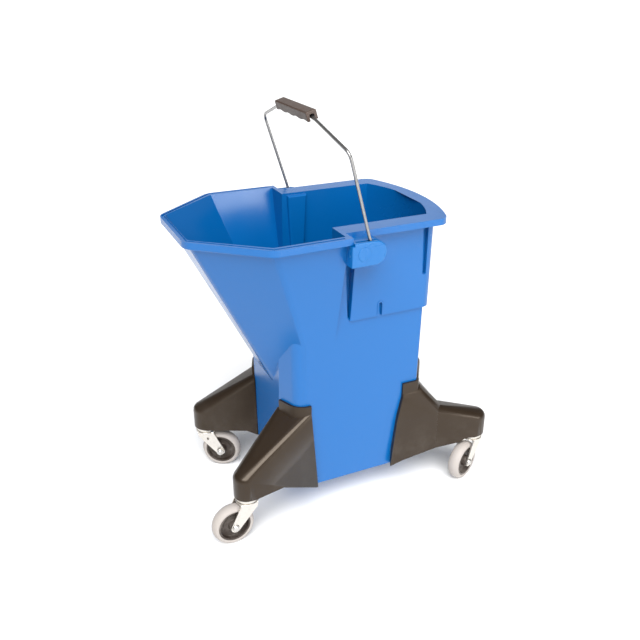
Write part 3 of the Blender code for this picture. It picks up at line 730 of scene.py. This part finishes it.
def addChannel(shell, side, tag):  # a tapered channel left of the panel, backed by a rib inside
    edge, inner, tip = panel["high"]["left"], channel["ribInner"], channel["tipZ"]
    past, top = channel["ribPast"], channel["ribTop"]
    rib = [(channel["left"] - past, top), (edge + past, top)]
    rib += [(channel["tipX"] + across, tip - channel["ribBelow"]) for across in channel["ribTip"]]
    ribForm = wedge("channelRib" + tag, side, inner, tank["top"]["side"] - 0.001, rib)
    roundEdges(ribForm, channel["ribRound"], 4, lambda e: all(abs(v.co.y) < inner + 0.0001 for v in e.verts))
    join(shell, ribForm)
    slot = [(channel["left"], channel["high"]), (edge + 0.001, channel["high"])]
    slot += [(channel["tipX"], tip), (channel["tipX"] + channel["tipWide"], tip)]
    cut(shell, wedge("channelCut" + tag, side, channel["floor"], channel["past"], slot))


def addEarBores(shell, side):  # the bail's end turns in the bore, behind a wider mouth
    for radius, inner in ((ear["bore"], ear["boreEnd"]), (ear["mouth"], ear["face"] - ear["mouthDeep"])):
        drum = addDrum("earBore", radius, inner, ear["face"] + ear["past"], 32)
        cut(shell, layAlongY(drum, pivot["x"], pivot["z"], side))


def makeBucket():
    shell = tankForm("bucketShell", 0.0, tank["base"]["z"], tank["top"]["z"])
    spout = hopperForm("spoutForm", 0.0, hopper["topZ"])
    lip = plateForm("rimForm", bothSides(rim["outline"]), rim["low"], rim["high"])
    roundEdges(lip, rim["cornerRound"], 6, lambda e: corner(e) and e.verts[0].co.x < -0.1)
    roundEdges(lip, rim["underRound"], 3, atHeight(rim["low"]))
    join(shell, spout, lip, makePanel(), makeFlange())
    sides = ((-1, "Near"), (1, "Far"))
    for side, tag in sides:
        addSideForms(shell, side, tag)
    over = rim["high"] + reachOut
    cut(shell, tankForm("tankHollow", tank["wall"], tank["base"]["z"] + tank["wall"], over))
    cut(shell, hopperForm("hopperHollow", hopper["wall"], over))
    addScrewBosses(shell)
    makeRimGroove(shell)
    roundEdges(shell, rim["edgeRound"], 6, lambda e: atHeight(rim["high"])(e) and bend(e) > 50)
    for side, tag in sides:
        addChannel(shell, side, tag)
        addEarBores(shell, side)
    print("bucket forms joined:", len(shell.data.polygons), "faces")
    return shell


bucketShell = makeBucket()
tidyMesh(bucketShell, 0.000004)
smooth(bucketShell, 20)
finishPiece(bucketShell, materials["bluePlastic"], "bucket", "blue_plastic", "bucket_body")


# each cap is a D plate with a wall along its foot and heel
cap = {"round": 0.0018, "discSpot": (-0.0215, 0.511), "disc": 0.0112, "discProud": 0.0006, "discRound": 0.0005,
       "sunk": 0.002, "pegR": 0.002, "pegLong": 0.008, "pegSpots": ((-0.0025, 0.495), (-0.0385, 0.5105)),
       "reliefX": -0.0379}


def makeCap():
    wall = ear["face"] + ear["gap"]
    plate = wedge("pivotCap", -1, wall, ear["capOuter"], dShape(32))
    roundEdges(plate, cap["round"], 5, lambda e: all(abs(v.co.y + ear["capOuter"]) < 0.0001 for v in e.verts))
    slotTop = ear["z"] + 2 * ear["r"]
    slot = addBlock("capSlot", (ear["heel"], -ear["capInner"], ear["slotFloor"]), (0.04, 0.02 - wall, slotTop))
    relief = addBlock("capRelief", (-0.08, -0.18, rim["low"] - ear["gap"]), (cap["reliefX"], -0.1, 0.56))
    cut(plate, slot, relief)
    outer = ear["capOuter"]
    disc = addDrum("capDisc", cap["disc"], outer - cap["sunk"], outer + cap["discProud"], 64)
    roundEdges(disc, cap["discRound"], 3, sharp)
    join(plate, layAlongY(disc, *cap["discSpot"]))
    for x, z in cap["pegSpots"]:
        peg = addDrum("capPeg", cap["pegR"], ear["face"] - cap["pegLong"], wall + cap["sunk"], 20)
        join(plate, layAlongY(peg, x, z))
    return smooth(tidyMesh(plate), 30)


capLeft = makeCap()
capLeft.name = "pivotCapNear"
capRight = mirrored(capLeft, "pivotCapFar")
finishPiece(capLeft, materials["blueCap"], "bucket", "blue_cap", "pivot_cap_left")
finishPiece(capRight, materials["blueCap"], "bucket", "blue_cap", "pivot_cap_right")
print("caps made")


# sprung wire with its ends turned in, and a moulded grip
bail = {"wire": 0.0025, "end": 0.139, "leg": 0.1622, "kink": 0.03, "shoulder": (0.1695, 0.1631),
        "crown": (0.0637, 0.1985), "bends": (0.005, 0.01, 0.014, 0.014), "steps": 10}
grip = {"long": 0.126, "wide": 0.018, "top": 0.0098, "deep": 0.0043, "scallop": 0.0018, "fingers": 4,
        "topRound": 0.003, "footRound": 0.0022, "endRound": 0.0012,
        "slotWide": 0.0085, "slotLong": 0.016, "slotTop": 0.0048, "slotRound": 0.0028, "boreGap": 0.0002}


def eased(points, radii, steps):
    route = [points[0]]
    for before, corner, after, radius in zip(points, points[1:], points[2:], radii):
        start = corner + (before - corner).normalized() * radius
        stop = corner + (after - corner).normalized() * radius
        for i in range(steps + 1):
            t = i / steps
            route.append(start.lerp(corner, t).lerp(corner.lerp(stop, t), t))
    return route + [points[-1]]


def bailRoute():
    (wide, rise), (narrow, crest) = bail["shoulder"], bail["crown"]
    knots = [(0, -bail["end"], 0), (0, -bail["leg"], 0), (0, -bail["leg"], bail["kink"]),
             (0, -wide, rise), (0, -narrow, crest), (0, 0, crest)]
    half = eased([Vector(k) for k in knots], bail["bends"], bail["steps"])[:-1]
    return half + [Vector((p.x, -p.y, p.z)) for p in reversed(half)]


def wireAlong(name, points, radius, resolution=6):
    data = bpy.data.curves.new(name, "CURVE")
    data.dimensions = "3D"
    data.bevel_depth = radius
    data.bevel_resolution = resolution
    data.use_fill_caps = True
    line = data.splines.new("POLY")
    line.points.add(len(points) - 1)
    for knot, point in zip(line.points, points):
        knot.co = (*point, 1.0)
    activate(place(name, data))
    bpy.ops.object.convert(target="MESH")
    return tidyMesh(bpy.context.object, 0.000001)


def leanOver(piece):  # from the pivot's own frame to the bucket's
    piece.rotation_euler = (0, math.radians(pivot["lean"]), 0)
    piece.location = (pivot["x"], 0, pivot["z"])
    return settle(piece)


def makeGrip():
    half, waves = grip["long"] / 2, 12 * grip["fingers"]
    under = []
    for i in range(waves + 1):
        along = -half + grip["long"] * i / waves
        dip = grip["scallop"] * (1 + math.cos(2 * math.pi * grip["fingers"] * i / waves)) / 2
        under.append((along, -grip["deep"] - dip))
    body = addBlock("bailGrip", (-grip["wide"] / 2, -half, -0.02), (grip["wide"] / 2, half, grip["top"]))
    editMode(body, "EDGE")
    mesh = bmesh.from_edit_mesh(body.data)
    for edge in mesh.edges:
        edge.select = abs(edge.verts[0].co.y - edge.verts[1].co.y) > half
    bmesh.update_edit_mesh(body.data)
    bpy.ops.mesh.subdivide(number_cuts=waves - 1)
    mesh = bmesh.from_edit_mesh(body.data)
    for vert in mesh.verts:  # the finger waves
        if vert.co.z < 0:
            vert.co.z = under[round((vert.co.y + half) / grip["long"] * waves)][1]
    bmesh.update_edit_mesh(body.data)
    objectMode()
    roundEdges(body, grip["topRound"], 5, lambda e: atHeight(grip["top"])(e) and sharp(e))
    roundEdges(body, grip["footRound"], 4, lambda e: sharp(e) and all(v.co.z < 0 for v in e.verts))
    roundEdges(body, grip["endRound"], 3,
               lambda e: bend(e) > 40 and all(abs(v.co.y) > half - 0.0001 for v in e.verts))
    wide = grip["slotWide"] / 2
    for side in (-1, 1):
        low, high = sorted((side * (half - grip["slotLong"]), side * (half + 0.01)))
        slot = addBlock("gripSlot", (-wide, low, -0.03), (wide, high, grip["slotTop"]))
        roundEdges(slot, grip["slotRound"], 4,
                   lambda e: sharp(e) and crossing(e, 0.005) and all(v.co.z > 0 for v in e.verts))
        cut(body, slot)
    body.location = (0, 0, bail["crown"][1])
    settle(body)
    run = [p for p in bailRoute() if abs(p.y) < half + 0.02]
    tunnel = wireAlong("gripTunnel", run, bail["wire"] + grip["boreGap"], 4)
    cut(body, tunnel)
    return smooth(tidyMesh(leanOver(body)), 34)


bailWire = leanOver(wireAlong("bailWire", bailRoute(), bail["wire"]))
smooth(bailWire, 50, even=False)
finishPiece(bailWire, materials["wirePlate"], "bail", "wire_chrome", "handle_bail")
bailGrip = makeGrip()
finishPiece(bailGrip, materials["gripPlastic"], "bail", "grip_plastic", "handle_grip")
print("bail and grip made")


foot = {"r": 0.0225, "low": 0.088, "top": 0.137, "round": 0.0125, "frontStem": (-0.2105, 0.1185),
        "rearStem": (0.251, 0.1185), "lip": 0.0015, "socket": 0.0058, "socketTop": 0.1183}
frontLeg = {
    "bulk": ((-0.074, 0.1135, 0.055), (-0.129, 0.056, 0.055), (-0.074, 0.06, 0.055), (-0.074, 0.06, 0.214)),
    "crests": (((-0.085, 0.1125, 0.203), (-0.089, 0.1045, 0.2145)),
               ((-0.129, 0.056, 0.197), (-0.1235, 0.067, 0.21))),
    "collar": ((-0.085, 0.05), (-0.085, 0.14), (-0.16, 0.14), (-0.152, 0.077), (-0.096, 0.055)),
    "collarHigh": 0.2265, "collarLow": 0.18,
    "arch": ((-0.076, 0.055), (-0.146, 0.088), (-0.26, 0.088)),
    "hollow": ((-0.183, 0.108, 0.04), (-0.183, 0.122, 0.04), (-0.183, 0.108, 0.146), (-0.183, 0.119, 0.146),
               (-0.082, 0.1085, 0.04), (-0.09, 0.107, 0.19), (-0.127, 0.065, 0.04), (-0.127, 0.066, 0.186),
               (-0.09, 0.07, 0.04), (-0.09, 0.07, 0.195)),
}
rearLeg = {
    "bulk": ((0.168, 0.1176, 0.055), (0.15, 0.11, 0.055), (0.145, 0.058, 0.055), (0.145, 0.058, 0.16)),
    "crests": (((0.169, 0.1176, 0.144), (0.172, 0.1045, 0.16)),
               ((0.15, 0.112, 0.144), (0.15, 0.1045, 0.162))),
    "gusset": ((0.0746, 0.1135, 0.055), (0.101, 0.1137, 0.055), (0.17, 0.1182, 0.055), (0.15, 0.06, 0.055),
               (0.096, 0.07, 0.055), (0.096, 0.07, 0.205), (0.15, 0.06, 0.205), (0.185, 0.076, 0.085),
               (0.185, 0.076, 0.159), (0.085, 0.113, 0.15)),
    "gussetCrests": (((0.096, 0.1128, 0.196), (0.0985, 0.101, 0.212)),
                     ((0.13, 0.114, 0.194), (0.1365, 0.101, 0.2105)),
                     ((0.17, 0.1182, 0.144), (0.183, 0.104, 0.159))),
    "collar": ((0.095, 0.05), (0.095, 0.14), (0.132, 0.14), (0.145, 0.09), (0.14, 0.05)),
    "collarHigh": 0.2265, "collarLow": 0.17,
    "arch": ((0.0746, 0.055), (0.102, 0.062), (0.168, 0.0715), (0.215, 0.08), (0.226, 0.088), (0.3, 0.088)),
    "hollow": ((0.223, 0.11, 0.04), (0.223, 0.123, 0.04), (0.223, 0.11, 0.132), (0.223, 0.118, 0.132),
               (0.12, 0.109, 0.04), (0.12, 0.107, 0.18), (0.145, 0.104, 0.17), (0.145, 0.065, 0.04),
               (0.145, 0.066, 0.17), (0.1, 0.08, 0.04), (0.1, 0.08, 0.18)),
}


def footPoints(stem, steps=28, bands=6):
    rings = []
    for k in range(bands + 1):
        turn = math.pi / 2 * k / bands
        rings.append((foot["r"] - foot["round"] * (1 - math.cos(turn)),
                      foot["top"] - foot["round"] * (1 - math.sin(turn))))
    rings += [(foot["r"] - foot["lip"], foot["low"]), (foot["r"], foot["low"] + foot["lip"])]
    return [(x, y, height) for radius, height in rings for x, y in ring(*stem, radius, steps)]


def crestArc(low, high, steps=4):  # a quarter round between the side's top line and the slope's edge
    a, b = Vector(low), Vector(high)
    corner = Vector((a.x, a.y, b.z))
    shares = [i / steps for i in range(steps + 1)]
    return [tuple(a.lerp(corner, t).lerp(corner.lerp(b, t), t)) for t in shares]


def crested(points, crests):
    return list(points) + [p for low, high in crests for p in crestArc(low, high)]


def makeLeg(name, row):
    look = frontLeg if row == "front" else rearLeg
    stem = foot[row + "Stem"]
    form = hullOf(name, footPoints(stem) + crested(look["bulk"], look["crests"]))
    if "gusset" in look:
        join(form, hullOf(name + "Gusset", crested(look["gusset"], look["gussetCrests"])))
    collar = hullOf(name + "Collar", [(x, y, z) for x, y in look["collar"]
                                      for z in (look["collarLow"], look["collarHigh"])])
    combine(collar, legClearance, "INTERSECT", keep=True)
    join(form, collar)
    for (nearX, nearZ), (farX, farZ) in zip(look["arch"], look["arch"][1:]):
        slab = [(x, y, z) for x, top in ((nearX, nearZ), (farX, farZ)) for y in (0.0, 0.2) for z in (0.0, top)]
        cut(form, hullOf(name + "Arch", slab))
    hollow = hullOf(name + "Hollow", look["hollow"])
    combine(hollow, legClearance, "DIFFERENCE", keep=True)
    combine(form, legSeat, "DIFFERENCE", keep=True)
    cut(form, hollow)
    cut(form, addDrum(name + "Socket", foot["socket"], foot["low"] - 0.01, foot["socketTop"], 32, stem))
    return smooth(tidyMesh(form), 30)


legClearance = tankForm("legClearance", -0.0045, tank["base"]["z"] - 0.03, tank["top"]["z"])
legSeat = tankForm("legSeat", -0.0003, tank["base"]["z"] - 0.0003, tank["top"]["z"])
for row in ("front", "rear"):
    right = makeLeg(row + "LegFar", row)
    left = mirrored(right, row + "LegNear")
    finishPiece(left, materials["blackPlastic"], "bucket", "black_plastic", row + "_left_leg")
    finishPiece(right, materials["blackPlastic"], "bucket", "black_plastic", row + "_right_leg")
for helper in (legClearance, legSeat):
    bpy.data.objects.remove(helper, do_unlink=True)
print("legs made")


# castors are modelled once at the swivel and turned to each heading
castor = {"wheelR": 0.0375, "wide": 0.0232, "hubR": 0.0285, "trail": 0.0285, "sheet": 0.0025, "gap": 0.027,
          "top": 0.0805, "headR": 0.02, "eyeR": 0.0085, "axleR": 0.004, "sleeveR": 0.0062, "stemR": 0.0055,
          "outerBend": 0.0042, "innerBend": 0.0018, "sightR": 0.0026, "sight": (-0.0055, 0.0655),
          "headRound": 0.0007, "play": 0.0003}
headings = {"front_left": 3.0, "front_right": 151.0, "rear_left": 24.7, "rear_right": -38.0}


def makeFork():
    outer, inner = castor["gap"] / 2 + castor["sheet"], castor["gap"] / 2
    top = castor["top"]
    side = [(-0.016, top), (0.014, top), (-0.018, top - 0.008), (0.013, top - 0.01)]
    side += ring(-castor["trail"], castor["wheelR"], castor["eyeR"])
    fork = hullOf("castorFork", [(x, y, z) for x, z in side for y in (-outer, outer)])
    roundEdges(fork, castor["outerBend"], 6, lambda e: atHeight(top)(e) and alongX(e))
    head = addDrum("forkHead", castor["headR"], top - castor["sheet"], top, 56)
    roundEdges(head, castor["headRound"], 3, sharp)
    room = addBlock("forkRoom", (-0.08, -inner, -0.01), (0.05, inner, top - castor["sheet"]))
    roundEdges(room, castor["innerBend"], 4, lambda e: atHeight(top - castor["sheet"])(e) and alongX(e))
    cut(fork, room)
    join(fork, head)
    for radius, x, z in ((castor["axleR"] + castor["play"], -castor["trail"], castor["wheelR"]),
                         (castor["sightR"], castor["sight"][0], castor["sight"][1])):
        hole = addDrum("forkHole", radius, -0.05, 0.05 if radius > castor["sightR"] else 0.0, 32)
        cut(fork, layAlongY(hole, x, z))
    cut(fork, addDrum("stemHole", castor["stemR"] + castor["play"], 0.06, 0.1, 32))
    return smooth(tidyMesh(fork), 32)


def onAxle(piece):
    return layAlongY(piece, -castor["trail"], castor["wheelR"])


def roundedRun(points, radii, steps=5):  # a profile with its corners eased
    count = len(points)
    run = []
    for i in range(count):
        corner = Vector(points[i])
        before, after = Vector(points[i - 1]), Vector(points[(i + 1) % count])
        radius = radii[i]
        if not radius:
            run.append(tuple(corner))
            continue
        start = corner + (before - corner).normalized() * radius
        stop = corner + (after - corner).normalized() * radius
        run += [tuple(start.lerp(corner, t / steps).lerp(corner.lerp(stop, t / steps), t / steps))
                for t in range(steps + 1)]
    return run


def makeTyre():
    r, half = castor["wheelR"], castor["wide"] / 2
    wall = half - 0.0006
    side = [(castor["hubR"] + 0.0003, wall - 0.0006), (castor["hubR"] + 0.0012, wall)]
    side += [(r - 0.0042, wall), (r - 0.0012, half - 0.0052)]
    side += [(r - 0.0001, 0.0026), (r - 0.0001, 0.0005), (r, 0.0)]
    profile = side + [(a, -b) for a, b in reversed(side[:-1])]
    eased = [0, 0.0005, 0.0022, 0.0022, 0, 0, 0, 0, 0, 0.0022, 0.0022, 0.0005, 0]
    return smooth(onAxle(spun("castorTyre", roundedRun(profile, eased), 96)), 40)


def makeHub():
    half, r = castor["wide"] / 2, castor["hubR"]
    side = [(castor["sleeveR"] + 0.0003, half + 0.0005), (0.0095, half + 0.0005),
            (0.0106, 0.0046), (0.018, 0.0034), (0.0182, 0.0028),
            (r - 0.004, 0.0028), (r - 0.003, half - 0.0012), (r, half - 0.0015)]
    profile = side + [(a, -b) for a, b in reversed(side)]
    radii = [0, 0.0008, 0.0012, 0, 0, 0.0012, 0.0008, 0]
    return smooth(onAxle(spun("castorHub", roundedRun(profile, radii + radii[::-1]), 96)), 40)


def makeBolt():
    cheek = castor["gap"] / 2 + castor["sheet"]
    head, end = cheek + 0.0003, cheek + 0.0055
    r = castor["axleR"]
    profile = [(0, head + 0.004), (0.0022, head + 0.0039), (0.0042, head + 0.0033), (0.0057, head + 0.0021),
               (0.0064, head + 0.0008), (0.0065, head), (r, head), (r, -end + 0.0008),
               (r - 0.0008, -end), (0, -end)]
    return smooth(onAxle(spun("axleBolt", profile, 48)), 40)


def makeNut():
    cheek = castor["gap"] / 2 + castor["sheet"] + 0.0003
    nut = addDrum("axleNut", 0.0072, -cheek - 0.0045, -cheek, 6)
    turned = [(0, 0), (0.0068, 0), (0.0075, 0.0006), (0.0075, 0.0037), (0.0064, 0.0045), (0, 0.0045)]
    cone = spun("nutTurning", [(r, -cheek - deep) for r, deep in turned], 48)
    combine(nut, cone, "INTERSECT")
    cut(nut, addDrum("nutBore", castor["axleR"] + 0.0003, -0.03, 0, 32))
    return smooth(tidyMesh(onAxle(nut)), 30)


def makeRace():
    low, high = castor["top"] + 0.0003, foot["low"] - 0.0003
    inner = castor["stemR"] + 0.0003
    middle = (low + high) / 2
    profile = [(inner, high), (0.0192, high), (0.0195, high - 0.0004), (0.0195, middle + 0.0006),
               (0.0184, middle + 0.0003), (0.018, middle - 0.0006),
               (0.0185, low + 0.001), (0.018, low), (inner, low)]
    return smooth(spun("swivelRace", profile, 72), 40)


masters = {
    "fork": (makeFork(), "brightZinc", "zinc", "fork_body"),
    "race": (makeRace(), "brightZinc", "zinc", None),
    "tyre": (makeTyre(), "greyRubber", "grey_rubber", "wheel"),
    "hub": (makeHub(), "hubPlastic", "hub_plastic", "wheel"),
    "axle_bolt": (makeBolt(), "boltSteel", "steel", "fork_body"),
    "axle_nut": (makeNut(), "boltSteel", "steel", "fork_body"),
}
for corner, heading in headings.items():
    stem = foot["frontStem" if corner.startswith("front") else "rearStem"]
    side = -1 if corner.endswith("left") else 1
    for kind, (master, material, slot, carrier) in masters.items():
        twin = copyOf(master, corner + "_" + kind + "_made")
        twin.rotation_euler = (0, 0, math.radians(heading))
        twin.location = (stem[0], side * stem[1], 0)
        settle(twin)
        body = corner + "_" + carrier if carrier else "bucket"
        finishPiece(twin, materials[material], body, slot, corner + "_" + kind)
for master in masters.values():
    bpy.data.objects.remove(master[0], do_unlink=True)
print("castors made:", len(headings))

for nodeName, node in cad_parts.items():  # small hardware keeps its own shape
    if nodeName.endswith(("_screw", "_stem", "_sleeve")):
        node.data.materials.clear()
        node.data.materials.append(materials["boltSteel"])


studio = {
    "floor": (0.9, 0.9, 0.9), "floorSize": 400.0, "room": (0.97, 0.98, 1.0), "roomPower": 0.22,
    "sunFrom": (-0.28, -0.55, 0.79), "sunPower": 5.0, "sunSpread": 50.0, "aim": (0.0, 0.0, 0.4),
    "lamps": (("fillLamp", (0.72, -2.1, 0.9), 1.1, 20.0), ("rimLamp", (0.85, 1.9, 1.5), 1.5, 4.0)),
}
view = {"lens": 42.02, "sensor": 36.0, "place": (-0.5257, -1.103, 0.9051), "tilt": 64.6, "turn": -24.7}


def makeStudio():
    deselect()
    bpy.ops.mesh.primitive_plane_add(size=studio["floorSize"], location=(0, 0, 0))
    floor = bpy.context.object
    floor.name = "studioFloor"
    material = bpy.data.materials.new("paleFloor")
    material.use_nodes = True
    shader = material.node_tree.nodes["Principled BSDF"]
    shader.inputs["Base Color"].default_value = (*studio["floor"], 1.0)
    shader.inputs["Roughness"].default_value = 0.85
    floor.data.materials.append(material)
    world = bpy.data.worlds.new("studioWorld")
    bpy.context.scene.world = world
    world.use_nodes = True
    tree = world.node_tree
    room = tree.nodes["Background"]
    room.inputs["Color"].default_value = (*studio["room"], 1.0)
    room.inputs["Strength"].default_value = studio["roomPower"]
    backdrop = addNode(tree, "ShaderNodeBackground")  # plain white where the view passes the floor
    backdrop.inputs["Color"].default_value = (1.0, 1.0, 1.0, 1.0)
    either = addNode(tree, "ShaderNodeMixShader")
    tree.links.new(addNode(tree, "ShaderNodeLightPath").outputs["Is Camera Ray"], either.inputs[0])
    tree.links.new(room.outputs[0], either.inputs[1])
    tree.links.new(backdrop.outputs[0], either.inputs[2])
    tree.links.new(either.outputs[0], tree.nodes["World Output"].inputs["Surface"])
    sun = bpy.data.lights.new("keySun", "SUN")
    sun.energy = studio["sunPower"]
    sun.angle = math.radians(studio["sunSpread"])
    stands = [(sun, studio["sunFrom"], (0, 0, 0))]
    for name, spot, size, power in studio["lamps"]:
        soft = bpy.data.lights.new(name, "AREA")
        soft.shape = "DISK"
        soft.size = size
        soft.energy = power
        stands.append((soft, spot, studio["aim"]))
    for data, spot, aim in stands:
        lamp = place(data.name, data)
        lamp.location = spot
        lamp.rotation_euler = (Vector(aim) - Vector(spot)).to_track_quat("-Z", "Y").to_euler()


def makeCamera():
    data = bpy.data.cameras.new("viewCamera")
    data.lens = view["lens"]
    data.sensor_width = view["sensor"]
    camera = place("viewCamera", data)
    camera.location = view["place"]
    camera.rotation_euler = (math.radians(view["tilt"]), 0, math.radians(view["turn"]))
    bpy.context.scene.camera = camera


makeStudio()
makeCamera()
bpy.context.scene.view_settings.view_transform = "Standard"
